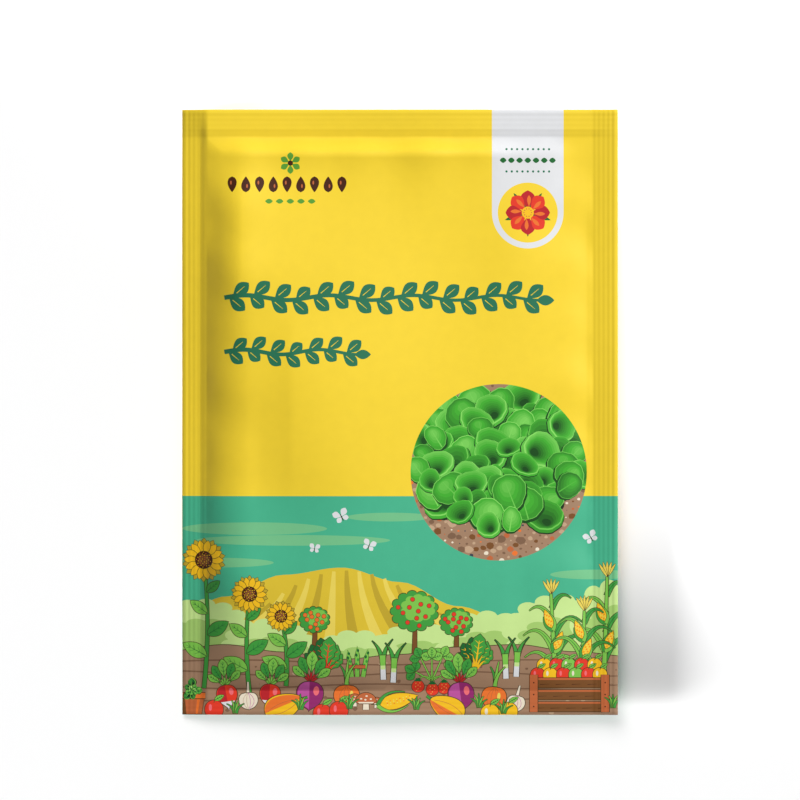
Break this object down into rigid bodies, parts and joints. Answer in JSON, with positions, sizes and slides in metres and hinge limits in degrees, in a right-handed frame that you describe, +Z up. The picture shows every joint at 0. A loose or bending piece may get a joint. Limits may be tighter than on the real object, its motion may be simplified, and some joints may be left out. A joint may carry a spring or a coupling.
{
  "type": "seed packet",
  "caption": "Flat heat-sealed seed packet lying on its back, with a bulged printed front film, crimped seals all round and a small heap of seeds sealed inside.",
  "frame": {"origin": "on the surface the packet rests on, under the middle of the packet", "axes": "+X to the right and +Y to the top edge of the printed front, +Z up out of the printed front"},
  "size_m": [0.09, 0.125, 0.0082],
  "materials": {
    "front_film": "satin",
    "back_film": "satin",
    "seed_skin": "matte"
  },
  "bodies": {
    "root": {"front_panel": "front_film", "back_panel": "back_film", "seeds": "seed_skin"}
  },
  "joints": []
}
